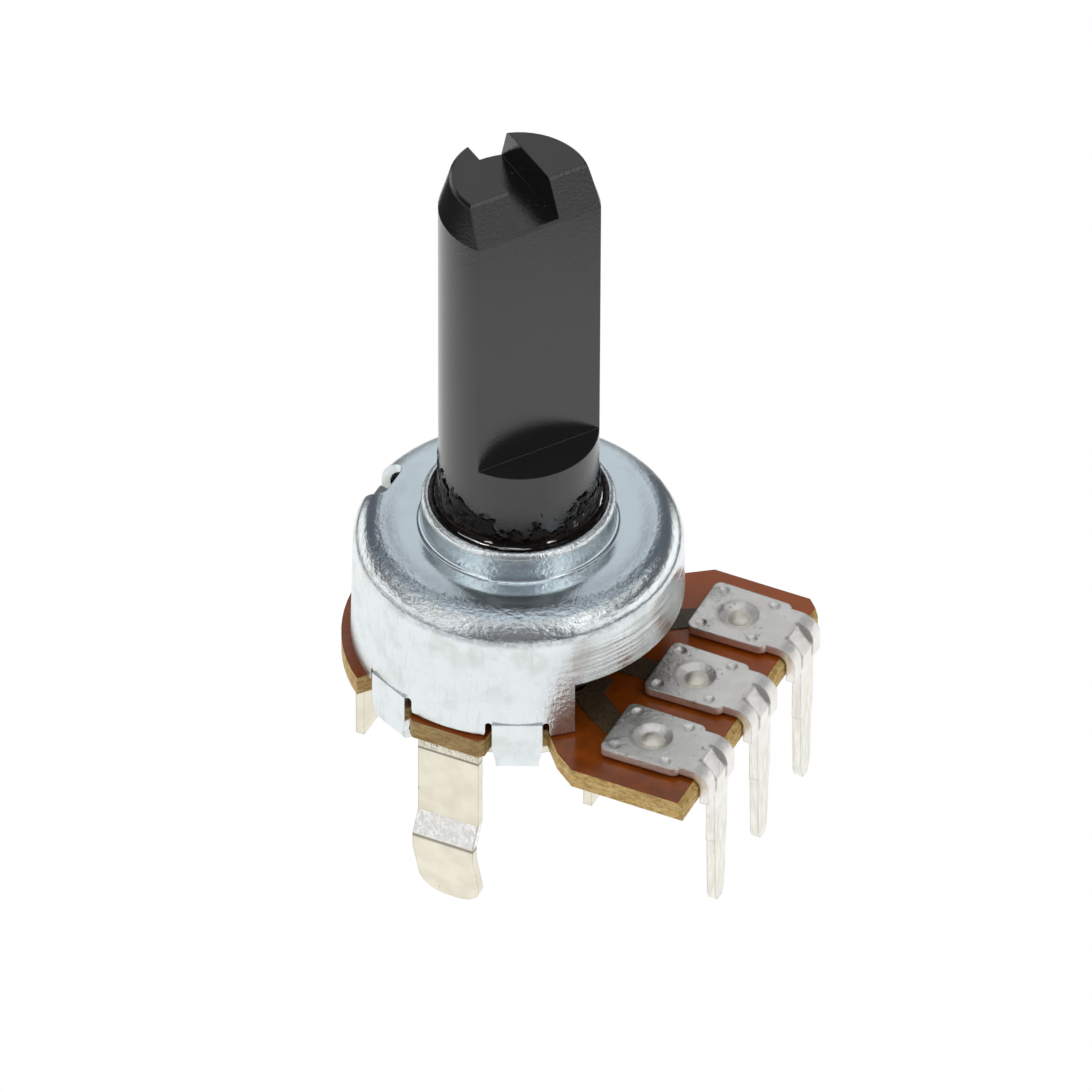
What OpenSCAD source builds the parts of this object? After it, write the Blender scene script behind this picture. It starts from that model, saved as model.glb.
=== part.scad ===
// Vertical rotary potentiometer: a drawn steel case with a plain collar, a D-shaped plastic shaft,
// a phenolic element board with three riveted terminals and a snap-in base plate.
// The origin is on the shaft axis, in the plane of the circuit board that the part stands on.
// +Z runs up the shaft and +X runs out to the terminals.

/* [Shaft] */
// Diameter of the control shaft
shaft_d = 6; // [5:0.1:6.4]
// Thickness of the shaft across its flat
flat_thickness = 4.5; // [3.8:0.1:5.2]
// Length of the flat, without the bevelled tip
flat_length = 10.6; // [6:0.1:12]
// Height of the round part of the shaft, from the collar up to the flat's ledge
round_length = 3.2; // [2.5:0.1:6]
// Height of the bevelled tip
tip_height = 1.5; // [1:0.05:2]
// How far the round side of the tip slopes in
tip_inset = 0.4; // [0.3:0.05:0.9]
// How far the flat side of the tip slopes in
tip_flat_inset = 0.75; // [0.4:0.05:1.2]
// Bevel round the top of the tip
tip_bevel = 0.12; // [0.05:0.01:0.2]
// Width of the screwdriver slot
slot_width = 1.7; // [0.8:0.1:2.2]
// Depth of the screwdriver slot
slot_depth = 1.4; // [0.6:0.05:1.8]
// Radial clearance between the shaft and the collar's bore
shaft_clearance = 0.05; // [0.02:0.01:0.1]
// Total angle that the shaft turns
travel = 300; // [240:5:310]
// Angle at which the shaft stands, counted from the middle of its travel
turn = 145; // [90:5:145]
// Gap between the damping grease and the collar's lip
grease_gap = 0.05; // [0.03:0.01:0.1]

/* [Case] */
// Diameter of the case at its foot
case_d = 12.6; // [12.2:0.1:13.4]
// Height of the case above the element board
case_height = 5.5; // [5.4:0.05:6.5]
// Thickness of the case's sheet
sheet_t = 0.35; // [0.3:0.05:0.5]
// Radius of the case's shoulder
shoulder_r = 1; // [0.8:0.05:1.2]
// How far the case's wall leans in from foot to shoulder
wall_lean = 0.1; // [0.02:0.02:0.2]
// Wall of the collar around the shaft
collar_wall = 0.6; // [0.5:0.05:0.8]
// Height of the collar above the case's top
collar_height = 1.25; // [1.15:0.05:1.8]
// Radius of the fillet at the collar's foot
collar_fillet = 0.2; // [0.1:0.05:0.9]
// Radius of the collar's rounded lip
lip_r = 0.25; // [0.15:0.05:0.3]
// Height of the opening above the terminals
opening_height = 2.35; // [1.5:0.05:2.6]
// Angle that the opening above the terminals spans
opening_angle = 90; // [70:1:94]
// Width of a case tab at its root
tab_width = 1.9; // [1.4:0.1:2.1]
// Width of a case tab at its fold
tab_end_width = 1.6; // [1.2:0.1:1.9]
// Length of a tab's fold under the base plate
tab_fold = 1.1; // [0.8:0.1:1.4]
// Angle between a case tab and the nearest snap-in leg
tab_angle = 25; // [22:1:28]
// Width of the relief slots beside each tab
relief_width = 0.25; // [0.15:0.05:0.35]
// Height of the relief slots beside each tab
relief_height = 0.75; // [0.5:0.05:0.9]
// Radius of the wall's corners beside the relief slots
relief_corner_r = 0.35; // [0.2:0.05:0.4]
// Bevel at the foot of the case's wall
foot_bevel = 0.15; // [0.05:0.05:0.2]
// Width of the stop tab that is pressed in at the case's shoulder
stop_width = 1.9; // [1.4:0.1:2.4]
// How far the stop tab reaches inward from the case's wall
stop_reach = 1.1; // [0.9:0.05:1.2]
// Height of the pressed-in stop tab
stop_height = 1; // [0.8:0.05:1.1]
// Depth of the notch above the stop tab, from the case's wall inward
stop_notch = 1.05; // [0.7:0.05:1.15]

/* [Element board] */
// Thickness of the phenolic board
board_t = 0.8; // [0.7:0.05:1.2]
// How far the board's round side reaches past the case
board_rim = 0.35; // [0.2:0.05:0.5]
// Distance from the shaft axis to the board's terminal end
board_reach = 9.75; // [9.3:0.05:11]
// How far each side of the terminal end stands past the case
board_side = 0.05; // [0.05:0.05:0.7]
// Width of the lug that covers each snap-in leg
lug_width = 3.1; // [2.8:0.1:3.4]
// Length of the bevel across the board's corner beside the back terminal
corner_bevel = 0.6; // [0.4:0.05:1.2]
// Bevel along the top of the board's terminal end
end_bevel = 0.2; // [0.1:0.05:0.3]
// Bevel at the corners of the lugs
lug_bevel = 0.2; // [0.1:0.05:0.5]
// Thickness of the printed tracks
track_t = 0.05; // [0.03:0.01:0.1]
// Distance from the rotor's edge to the middle of the resistive track
track_inset = 1.05; // [0.9:0.05:1.1]
// Width of both round tracks
track_width = 0.8; // [0.7:0.05:0.9]
// Width of the printed lead to the middle terminal
lead_width = 1.1; // [0.8:0.05:1.3]

/* [Terminals] */
// Distance between neighbouring terminals
pitch = 3.85; // [3.7:0.05:4]
// Thickness of the terminals' sheet
terminal_t = 0.35; // [0.3:0.05:0.45]
// Distance from the board's terminal end to the rivets
rivet_setback = 2.4; // [2.2:0.05:2.5]
// Length of a terminal's pad inward of its rivet
pad_back = 1.55; // [1.45:0.05:1.9]
// Length of a terminal's pad outward of its rivet
pad_front = 1.65; // [1.4:0.05:1.7]
// Width of a terminal's pad at its inner end
pad_width = 2.85; // [2.7:0.05:3.3]
// Width of a terminal's pad at its outer end
pad_end_width = 2.75; // [2.6:0.05:3.2]
// Gap under a terminal's pad, bridged by the dish round its rivet
pad_lift = 0.1; // [0.05:0.05:0.2]
// Width of a terminal's neck at the bend
neck_width = 2.3; // [1.8:0.1:2.5]
// Width of a terminal's pin
pin_width = 1.1; // [0.8:0.05:1.3]
// Width of a terminal's pin at its tip
pin_end_width = 0.75; // [0.5:0.05:0.8]
// Length of a terminal's neck below the pad's top
neck_drop = 1.45; // [1.4:0.05:2.4]
// Height of a pin's last step above the circuit board
pin_step = 0.6; // [0.3:0.1:1.2]
// Length of a pin below the circuit board
pin_length = 2.55; // [2:0.05:4]
// Gap between a terminal's pin and the element board's end
pin_gap = 0.08; // [0.05:0.01:0.3]
// Outer radius of a terminal's bend
bend_r = 0.75; // [0.7:0.05:0.9]
// Width of the stiffening dent across the bend
dent_width = 1.05; // [0.6:0.05:1.4]
// Depth of the stiffening dent
dent_depth = 0.18; // [0.1:0.02:0.26]
// Radius of a rivet's domed head
rivet_head_r = 0.45; // [0.4:0.05:0.5]
// Radius of a rivet's shank
rivet_shank_r = 0.3; // [0.2:0.05:0.35]
// Radius of the small dimples in a terminal's pad
dimple_r = 0.28; // [0.1:0.02:0.3]

/* [Base plate] */
// Height of the base plate above the circuit board
standoff = 2.7; // [2.2:0.05:3.5]
// Thickness of the base plate
plate_t = 0.35; // [0.3:0.05:0.5]
// Width of a snap-in leg
leg_width = 2.5; // [2:0.1:2.6]
// How far a leg's outside lies inside the case's wall
leg_inset = 0.2; // [0.05:0.05:0.3]
// Inner radius of the bend at the top of a leg
leg_bend_in = 0.15; // [0.05:0.05:0.3]
// How far a leg's kink steps out
kink_out = 0.5; // [0.3:0.05:0.7]
// Height of a leg's kink
kink_height = 0.85; // [0.6:0.05:1.2]
// Depth of a leg's kink below the circuit board's top
kink_depth = 0.65; // [0.6:0.05:1.2]
// Length of a leg below the circuit board's top
leg_length = 4.9; // [4.4:0.1:5.5]
// How far a leg's tip bends back in
leg_tip_in = 0.85; // [0.4:0.05:1]
// Length of a leg's bent tip
leg_tip_length = 2.8; // [1.8:0.1:2.8]
// How far a foot's outside lies inside the plate's rim
foot_inset = 0.85; // [0.75:0.05:1.1]
// How far a foot's end lies inside the plate's rim
foot_end_inset = 1.85; // [1.75:0.05:2.3]
// Length of a foot
foot_length = 1.5; // [1:0.1:2]

/* [Rotor and wiper] */
// Gap between the rotor and the case's wall
rotor_gap = 0.85; // [0.75:0.05:1.05]
// Thickness of the rotor's disc
rotor_t = 1.5; // [1.2:0.1:1.6]
// Height of the space for the wiper, between the tracks and the rotor
wiper_space = 1.1; // [0.9:0.05:1.2]
// Thickness of the wiper's spring sheet
wiper_t = 0.15; // [0.1:0.01:0.2]
// Width of a wiper finger
finger_width = 0.7; // [0.4:0.05:0.8]
// Gap between a wiper finger and its track
contact_gap = 0.02; // [0.01:0.01:0.05]
// Radius of the pilot that turns in the board's hole
pilot_r = 1.1; // [0.8:0.05:1.2]
// Gap between moving pieces and their stops
play = 0.1; // [0.05:0.01:0.15]

/* [Hidden] */
$fn = 96;
eps = 0.01;
far = 20;

hole_gap = 0.02;
plate_z = standoff + plate_t;
board_z = plate_z + board_t;
track_z = board_z + track_t;
case_z = board_z + case_height;
collar_z = case_z + collar_height;
ledge_z = collar_z + round_length;
flat_z = ledge_z + flat_length;
tip_z = flat_z + tip_height;
under_z = case_z - sheet_t;

case_r = case_d / 2;
shoulder_wall_r = case_r - wall_lean;
wall_inner_r = case_r - sheet_t;
shaft_r = shaft_d / 2;
flat_x = flat_thickness - shaft_r;
bore_r = shaft_r + shaft_clearance;
collar_r = bore_r + collar_wall;
flare_r = collar_r - lip_r;
flare_height = flare_r - bore_r;
opening_half = opening_angle / 2;
tab_angles = [for (side = [90, -90], turn_by = [tab_angle, -tab_angle]) side + turn_by];
tab_x = case_r + hole_gap;
tab_inner_x = tab_x - sheet_t;
fold_r = sheet_t + 0.1;

lug_t = 0.75;
rotor_r = wall_inner_r - rotor_gap;
flange_t = 1.2;
flange_r = rotor_r - lug_t - play;
rotor_z = track_z + wiper_space;
rotor_top_z = rotor_z + rotor_t;
socket_z = rotor_z + rotor_t / 2;
drive_z = under_z - play - flange_t;
drive_r = shaft_r * 0.8;
drive_flat = drive_r * 0.75;
pilot_end_z = plate_z + play;
stop_r = shoulder_wall_r - sheet_t - stop_reach;
stop_z = case_z - shoulder_r - stop_height * 0.4;
lug_top_z = stop_z + stop_height - play;
stop_angle = asin(stop_width / 2 / stop_r);
play_angle = 0.6;
lug_half = (360 - travel) / 2 - stop_angle - play_angle;
resistive_r = rotor_r - track_inset;
collector_r = (pilot_r + resistive_r - track_width / 2) / 2;
spring_y = resistive_r / 2;
spring_r = norm([resistive_r + finger_width / 2, spring_y]);
stake_r = 0.35;
stake_points = [for (a = [70, 110]) polar((spring_y + spring_r) / 2, a)];

terminal_z = track_z + pad_lift + terminal_t;
rivet_x = board_reach - rivet_setback;
pin_x = board_reach + pin_gap;
pin_out_x = pin_x + terminal_t;
pad_start_x = rivet_x - pad_back;
pad_end_x = rivet_x + pad_front;
pad_corner_r = 0.3;
bend_x = pin_out_x - bend_r;
bend_z = terminal_z - bend_r;
dish_r = rivet_head_r + 0.32;
dish_depth = terminal_t / 2;
rivet_tail_t = 0.15;
print_inset = 0.3;

board_r = case_r + board_rim;
notch_r = wall_inner_r - 0.15;
plate_r = notch_r - 0.05;
leg_y = case_r - leg_inset;
leg_bend_r = plate_t + leg_bend_in;
foot_x = plate_r - foot_inset;
foot_y = plate_r - foot_end_inset;
board_shoulder_x = case_r - 1.1;
lug_reach = leg_y + 0.3;
track_end_a = 36;
lead_end_a = 14;

function polar(r, a) = [r * cos(a), r * sin(a)];

// Ring sector from angle a0 to angle a1, as a flat outline
module sector_outline(r_in, r_out, a0, a1) {
    steps = 6;
    intersection() {
        difference() {
            circle(r_out);
            circle(r_in);
        }
        polygon([[0, 0], for (i = [0:steps]) polar(far, a0 + (a1 - a0) * i / steps)]);
    }
}

// Outline of the case's cup as it is turned about the axis, one skin of the sheet at a time
module cup_outline(inset, bottom) {
    foot_r = case_r - inset;
    top_r = shoulder_wall_r - inset;
    corner_r = shoulder_r - inset;
    corner_z = case_z - shoulder_r;
    polygon([
        [0, bottom], [foot_r - foot_bevel, bottom], [foot_r, bottom + foot_bevel],
        [top_r, corner_z], [top_r - corner_r, corner_z], [top_r - corner_r, case_z - inset],
        [0, case_z - inset]
    ]);
    translate([top_r - corner_r, corner_z]) circle(corner_r);
}

module collar_outline() {
    translate([0, under_z]) square([collar_r, sheet_t + collar_height - lip_r]);
    translate([0, under_z]) square([collar_r - lip_r, sheet_t + collar_height]);
    translate([collar_r - lip_r, collar_z - lip_r]) circle(lip_r);
    difference() {
        translate([0, case_z - eps]) square([collar_r + collar_fillet, collar_fillet + eps]);
        translate([collar_r + collar_fillet, case_z + collar_fillet]) circle(collar_fillet);
    }
}

module case_shell() {
    rotate_extrude() difference() {
        union() {
            difference() {
                cup_outline(0, board_z);
                cup_outline(sheet_t, board_z - 1);
            }
            collar_outline();
        }
        translate([0, under_z - 1]) square([bore_r, far]);
        polygon([
            [0, collar_z - flare_height], [bore_r, collar_z - flare_height],
            [flare_r, collar_z], [flare_r, collar_z + 1], [0, collar_z + 1]
        ]);
    }
}

// One tab: it runs down past the board and the plate and folds in under the plate
module case_tab() {
    root_z = board_z + relief_height;
    taper_z = board_z - board_t / 2;
    fold_z = standoff + fold_r - sheet_t;
    rotate([90, 0, 90]) translate([0, 0, tab_inner_x]) linear_extrude(sheet_t) polygon([
        [-tab_width / 2, root_z], [-tab_width / 2, taper_z], [-tab_end_width / 2, fold_z],
        [tab_end_width / 2, fold_z], [tab_width / 2, taper_z], [tab_width / 2, root_z]
    ]);
    rotate([90, 0, 0]) linear_extrude(tab_end_width, center = true) {
        intersection() {
            translate([tab_x - fold_r, fold_z]) difference() {
                circle(fold_r);
                circle(fold_r - sheet_t);
            }
            translate([tab_x - fold_r, fold_z - fold_r]) square(fold_r);
        }
        translate([tab_x - tab_fold, fold_z - fold_r]) square([tab_fold - fold_r, sheet_t]);
    }
}

// The slots that free a tab from the wall, with the wall's corner rounded beside each
module tab_reliefs() {
    slot_y = tab_width / 2;
    corner_y = slot_y + relief_width;
    slot_end_r = relief_width / 2;
    for (side = [0, 1]) mirror([0, side, 0]) translate([wall_inner_r - sheet_t, 0, board_z])
        rotate([90, 0, 90]) linear_extrude(sheet_t * 3) {
            translate([slot_y, -eps]) square([relief_width, relief_height - slot_end_r + eps]);
            translate([slot_y + slot_end_r, relief_height - slot_end_r]) circle(slot_end_r);
            difference() {
                translate([corner_y - eps, -eps]) square(relief_corner_r + eps);
                translate([corner_y + relief_corner_r, relief_corner_r]) circle(relief_corner_r);
            }
        }
}

// The stop for the rotor: a strip of the wall that is cut free at the shoulder and pressed in
module stop_tab() {
    foot_r = shoulder_wall_r + wall_lean * shoulder_r / case_height;
    rotate([90, 0, 0]) linear_extrude(stop_width, center = true) polygon([
        [-foot_r, stop_z - sheet_t], [-foot_r, stop_z], [-stop_r, stop_z + stop_height],
        [-stop_r, stop_z + stop_height - sheet_t], [-foot_r + sheet_t, stop_z - sheet_t]
    ]);
}

// Plan of the notch that is cut through the shoulder above the stop tab
module stop_notch_outline() {
    corner_r = stop_width / 5;
    notch_x = shoulder_wall_r - stop_notch;
    translate([-far - notch_x - corner_r, -stop_width / 2]) square([far, stop_width]);
    translate([-notch_x - 2 * corner_r, corner_r - stop_width / 2])
        square([2 * corner_r, stop_width - 2 * corner_r]);
    for (side = [-1, 1]) translate([-notch_x - corner_r, side * (stop_width / 2 - corner_r)])
        circle(corner_r);
}

module case() {
    color("lightsteelblue") {
        difference() {
            case_shell();
            rotate([0, 0, -opening_half]) rotate_extrude(angle = opening_angle)
                translate([wall_inner_r - 1, board_z - 1]) square([far, opening_height + 1]);
            for (a = tab_angles) rotate([0, 0, a]) tab_reliefs();
            translate([0, 0, stop_z]) linear_extrude(far) stop_notch_outline();
        }
        for (a = tab_angles) rotate([0, 0, a]) case_tab();
        stop_tab();
    }
}

module shaft() {
    color("dimgray") rotate([0, 0, turn + 180]) difference() {
        union() {
            rotate_extrude() polygon([
                [0, drive_z], [flange_r, drive_z], [flange_r, drive_z + flange_t],
                [shaft_r, drive_z + flange_t], [shaft_r, flat_z],
                [shaft_r - tip_inset, tip_z - tip_bevel],
                [shaft_r - tip_inset - tip_bevel, tip_z], [0, tip_z]
            ]);
            intersection() {
                translate([0, 0, socket_z]) cylinder(r = drive_r, h = drive_z - socket_z + eps);
                translate([0, 0, socket_z]) cube([drive_flat * 2, far, far], center = true);
            }
        }
        translate([flat_x, -far / 2, ledge_z]) cube([far, far, far]);
        rotate([90, 0, 0]) linear_extrude(far, center = true) polygon([
            [flat_x, flat_z], [flat_x - tip_flat_inset, tip_z - tip_bevel],
            [flat_x - tip_flat_inset - tip_bevel, tip_z],
            [flat_x - tip_flat_inset - tip_bevel, far + tip_z], [far, far + tip_z], [far, flat_z]
        ]);
        translate([-far / 2, -slot_width / 2, tip_z - slot_depth]) cube([far, slot_width, far]);
    }
}

// A bead of stiff grease that fills the flare between the shaft and the collar's lip
module damping_grease() {
    inner_r = shaft_r + hole_gap;
    color("#1c120c") rotate_extrude() polygon([
        [inner_r, collar_z - flare_height + grease_gap],
        [flare_r - 2 * grease_gap, collar_z - grease_gap], [flare_r - 3 * grease_gap, collar_z],
        [inner_r + 2 * grease_gap, collar_z], [inner_r, collar_z + 3 * grease_gap]
    ]);
}

// The disc that carries the wiper, with a socket for the shaft, a pilot and the lug for the stop
module rotor() {
    color("saddlebrown") rotate([0, 0, turn]) {
        difference() {
            union() {
                translate([0, 0, rotor_z]) cylinder(r = rotor_r, h = rotor_t);
                translate([0, 0, rotor_z]) cylinder(r = flange_r, h = drive_z - rotor_z);
            }
            translate([0, 0, socket_z]) intersection() {
                cylinder(r = drive_r + hole_gap, h = far);
                cube([(drive_flat + hole_gap) * 2, far, 2 * far], center = true);
            }
        }
        translate([0, 0, pilot_end_z]) cylinder(r = pilot_r, h = rotor_z - pilot_end_z + eps);
        translate([0, 0, rotor_top_z - eps]) linear_extrude(lug_top_z - rotor_top_z)
            sector_outline(rotor_r - lug_t, rotor_r, -lug_half, lug_half);
        for (p = stake_points) translate([p[0], p[1], rotor_z - 2 * wiper_t])
            cylinder(r = stake_r, h = 2 * wiper_t + eps, $fn = 32);
    }
}

// Spring sheet under the rotor: a staked pad with one finger on each round track
module wiper() {
    pad_z = rotor_z - wiper_t;
    touch_z = track_z + contact_gap;
    touch_y = 0.25;
    tail_y = 0.7;
    color("goldenrod") rotate([0, 0, turn]) {
        difference() {
            translate([0, 0, pad_z]) linear_extrude(wiper_t) intersection() {
                circle(spring_r);
                translate([-far, spring_y]) square([2 * far, far]);
            }
            for (p = stake_points) translate([p[0], p[1], pad_z - 1])
                cylinder(r = stake_r + hole_gap, h = far, $fn = 32);
        }
        for (r = [resistive_r, collector_r]) translate([-r - finger_width / 2, 0, 0])
            rotate([90, 0, 90]) linear_extrude(finger_width) polygon([
                [spring_y + eps, pad_z], [spring_y + eps, pad_z + wiper_t],
                [spring_y, pad_z + wiper_t], [touch_y, touch_z + wiper_t],
                [-touch_y, touch_z + wiper_t],
                [-tail_y, touch_z + 4 * wiper_t], [-tail_y, touch_z + 3 * wiper_t],
                [-touch_y, touch_z], [touch_y, touch_z]
            ]);
    }
}

// The lug that covers a snap-in leg
module lug_outline() {
    lug_x = lug_width / 2;
    polygon([
        [-lug_x, 0], [lug_x, 0], [lug_x, lug_reach - lug_bevel], [lug_x - lug_bevel, lug_reach],
        [-lug_x + lug_bevel, lug_reach], [-lug_x, lug_reach - lug_bevel]
    ]);
}

// The terminal end, from the notch of the front case tab to the notch of the back one
module terminal_end_outline() {
    half_w = case_r + board_side;
    notch_point = polar(notch_r - 0.3, 54);
    side_points = [
        notch_point, [board_shoulder_x - 0.9, half_w - 0.65], [board_shoulder_x, half_w]
    ];
    polygon([
        [0, 0], for (p = side_points) [p[0], -p[1]], [board_reach, -half_w],
        [board_reach, half_w - corner_bevel], [board_reach - corner_bevel, half_w],
        for (i = [1:len(side_points)]) side_points[len(side_points) - i]
    ]);
}

module element_board() {
    round_a = 130;
    color("#8c4016") difference() {
        translate([0, 0, plate_z]) linear_extrude(board_t) difference() {
            union() {
                circle(notch_r);
                lug_outline();
                rotate(180) lug_outline();
                terminal_end_outline();
                sector_outline(notch_r - 1, board_r, round_a, 360 - round_a);
            }
            circle(pilot_r + shaft_clearance);
        }
        for (y = [-pitch, 0, pitch]) translate([rivet_x, y, 0])
            cylinder(r = rivet_shank_r + hole_gap, h = far);
        translate([board_reach, 0, board_z]) rotate([0, 45, 0])
            cube([end_bevel * sqrt(2), far, end_bevel * sqrt(2)], center = true);
    }
}

module resistive_track() {
    color("#1e1c1b") translate([0, 0, board_z]) linear_extrude(track_t)
        sector_outline(resistive_r - track_width / 2, resistive_r + track_width / 2,
            track_end_a, 360 - track_end_a);
}

// The pad of print that lies under a terminal, with the rivet's hole
module lead_pad(y) {
    half_w = pad_width / 2 - print_inset;
    difference() {
        translate([pad_start_x + print_inset, y - half_w])
            square([pad_back + pad_front - 2 * print_inset, 2 * half_w]);
        translate([rivet_x, y]) circle(rivet_shank_r + hole_gap);
    }
}

module collector_track() {
    color("#3b3430") translate([0, 0, board_z]) linear_extrude(track_t) {
        difference() {
            union() {
                circle(collector_r + track_width / 2);
                translate([0, -lead_width / 2])
                    square([pad_start_x + print_inset + eps, lead_width]);
            }
            circle(collector_r - track_width / 2);
        }
        lead_pad(0);
    }
}

// Lead from an end of the resistive track, slanting out to the terminal beside it
module end_lead() {
    inner_r = resistive_r - track_width / 2;
    outer_r = resistive_r + track_width / 2;
    edge_x = outer_r + hole_gap;
    pad_x = pad_start_x + print_inset + eps;
    pad_y = pitch - pad_width / 4;
    outer_y = pitch + lead_width / 2 - 0.1;
    color("#3b3430") translate([0, 0, board_z]) linear_extrude(track_t) {
        polygon([
            polar(inner_r, lead_end_a), [edge_x, edge_x * tan(lead_end_a)], [edge_x, pitch / 2],
            [pad_x, pad_y], [pad_x, outer_y], [edge_x, outer_y - (pad_x - edge_x) * tan(30)],
            polar(outer_r, track_end_a), polar(inner_r, track_end_a)
        ]);
        lead_pad(pitch);
    }
}

module front_lead() {
    mirror([0, 1, 0]) end_lead();
}

module back_lead() {
    end_lead();
}

// Outline of a terminal's pad and of the neck that runs out to the bend
module pad_outline() {
    inner_x = pad_start_x + pad_corner_r;
    outer_x = pad_end_x - pad_corner_r;
    inner_y = pad_width / 2 - pad_corner_r;
    outer_y = pad_end_width / 2 - pad_corner_r;
    for (side = [-1, 1]) {
        translate([inner_x, side * inner_y]) circle(pad_corner_r);
        translate([outer_x, side * outer_y]) circle(pad_corner_r);
    }
    translate([pad_start_x, -inner_y]) square([pad_corner_r, 2 * inner_y]);
    translate([outer_x, -outer_y]) square([pad_corner_r, 2 * outer_y]);
    polygon([
        [inner_x, -pad_width / 2], [outer_x, -pad_end_width / 2],
        [outer_x, pad_end_width / 2], [inner_x, pad_width / 2]
    ]);
    translate([rivet_x, -neck_width / 2]) square([bend_x - rivet_x + eps, neck_width]);
}

// Front view of a terminal below its bend: neck, pin, last step and bevelled tip
module pin_outline() {
    neck_z = terminal_z - neck_drop;
    neck_w = neck_width / 2;
    pin_w = pin_width / 2;
    step_w = pin_w - 0.06;
    tip_w = pin_end_width / 2;
    side_points = [
        [neck_w, bend_z + eps], [neck_w, neck_z], [pin_w, neck_z], [pin_w, pin_step],
        [step_w, pin_step], [tip_w, -pin_length + tip_w], [tip_w / 2, -pin_length]
    ];
    polygon([
        for (p = side_points) p,
        for (i = [1:len(side_points)]) let (p = side_points[len(side_points) - i]) [-p[0], p[1]]
    ]);
}

// One terminal at y = 0: riveted pad, bend with its stiffening dent, and pin
module terminal() {
    dimple_z = terminal_z + dimple_r * 0.6;
    dent_a = 38;
    color("gainsboro") difference() {
        union() {
            translate([0, 0, terminal_z - terminal_t]) linear_extrude(terminal_t) pad_outline();
            translate([rivet_x, 0, track_z]) cylinder(r = dish_r, h = pad_lift + eps);
            translate([bend_x, 0, bend_z]) rotate([90, 0, 0])
                linear_extrude(neck_width, center = true) intersection() {
                    difference() {
                        circle(bend_r);
                        circle(bend_r - terminal_t);
                    }
                    square(bend_r);
                }
            translate([pin_x, 0, 0]) rotate([90, 0, 90]) linear_extrude(terminal_t) pin_outline();
        }
        translate([bend_x, 0, bend_z]) rotate([0, -dent_a, 0])
            translate([bend_r - dent_depth, -dent_width / 2, -bend_r])
                cube([bend_r, dent_width, 2 * bend_r]);
        translate([rivet_x, 0, track_z - 1]) cylinder(r = rivet_shank_r + hole_gap, h = far);
        translate([rivet_x, 0, terminal_z - dish_depth])
            cylinder(r1 = rivet_head_r + hole_gap, r2 = dish_r + hole_gap, h = dish_depth + eps);
        for (x = [-1.1, 1], y = [-1.03, 1.03])
            translate([rivet_x + x, y, dimple_z]) sphere(dimple_r, $fn = 32);
    }
}

module terminal_front() {
    translate([0, -pitch, 0]) terminal();
}

module terminal_middle() {
    terminal();
}

module terminal_back() {
    translate([0, pitch, 0]) terminal();
}

// Rivet with a domed head in the terminal's dish and a tail spread under the board
module rivet() {
    head_z = terminal_z - dish_depth;
    tail_z = plate_z - rivet_tail_t;
    dome_r = rivet_head_r * 1.3;
    dome_drop = sqrt(dome_r * dome_r - rivet_head_r * rivet_head_r);
    color("#d8d2b8") translate([rivet_x, 0, 0]) {
        translate([0, 0, tail_z]) cylinder(r = rivet_shank_r, h = head_z - tail_z + eps);
        translate([0, 0, tail_z]) cylinder(r = dish_r, h = rivet_tail_t);
        intersection() {
            translate([0, 0, head_z - dome_drop]) sphere(dome_r);
            translate([0, 0, head_z]) cylinder(r = rivet_head_r, h = 1);
        }
    }
}

module rivet_front() {
    translate([0, -pitch, 0]) rivet();
}

module rivet_middle() {
    rivet();
}

module rivet_back() {
    translate([0, pitch, 0]) rivet();
}

module plate_outline() {
    intersection() {
        circle(plate_r);
        square([2 * (foot_x - plate_t), far], center = true);
    }
    square([leg_width, 2 * (leg_y - leg_bend_r + eps)], center = true);
}

// Side view of a leg: a bend, down past the circuit board's top, out at the kink, and back in
module leg_profile() {
    bend_z = plate_z - leg_bend_r;
    skin = [
        [0, bend_z + eps], [0, -kink_depth], [-kink_out, -kink_depth - kink_height],
        [-kink_out, leg_tip_length - leg_length], [leg_tip_in - kink_out, -leg_length]
    ];
    translate([-leg_y, 0]) polygon([
        for (p = skin) p,
        for (i = [1:len(skin)]) skin[len(skin) - i] + [plate_t, 0]
    ]);
    translate([leg_bend_r - leg_y, bend_z]) intersection() {
        difference() {
            circle(leg_bend_r);
            circle(leg_bend_in);
        }
        translate([-leg_bend_r, 0]) square(leg_bend_r);
    }
}

module leg_front_outline() {
    tip_r = leg_width * 0.42;
    translate([-leg_width / 2, -leg_length + tip_r]) square([leg_width, far]);
    translate([leg_width / 2 - tip_r, -leg_length + tip_r]) circle(tip_r);
    translate([-leg_width / 2 + tip_r, -leg_length + tip_r]) circle(tip_r);
    translate([-leg_width / 2 + tip_r, -leg_length]) square([leg_width - 2 * tip_r, 2 * tip_r]);
}

module snap_leg() {
    intersection() {
        rotate([90, 0, 90]) linear_extrude(leg_width, center = true) leg_profile();
        rotate([90, 0, 0]) linear_extrude(far) leg_front_outline();
    }
}

module foot() {
    translate([foot_x - plate_t, foot_y - foot_length, 0]) cube([plate_t, foot_length, plate_z]);
}

module base_plate() {
    color("#e0d9c9") {
        translate([0, 0, standoff]) linear_extrude(plate_t) plate_outline();
        snap_leg();
        mirror([0, 1, 0]) snap_leg();
        for (sx = [0, 1], sy = [0, 1]) mirror([sx, 0, 0]) mirror([0, sy, 0]) foot();
    }
}

case();
shaft();
damping_grease();
rotor();
wiper();
element_board();
resistive_track();
collector_track();
front_lead();
back_lead();
terminal_front();
terminal_middle();
terminal_back();
rivet_front();
rivet_middle();
rivet_back();
base_plate();
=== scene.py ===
"""Looks of the rotary potentiometer: camera, soft studio light, materials, damping grease."""
import math

import bpy
from mathutils import Matrix, Vector


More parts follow.
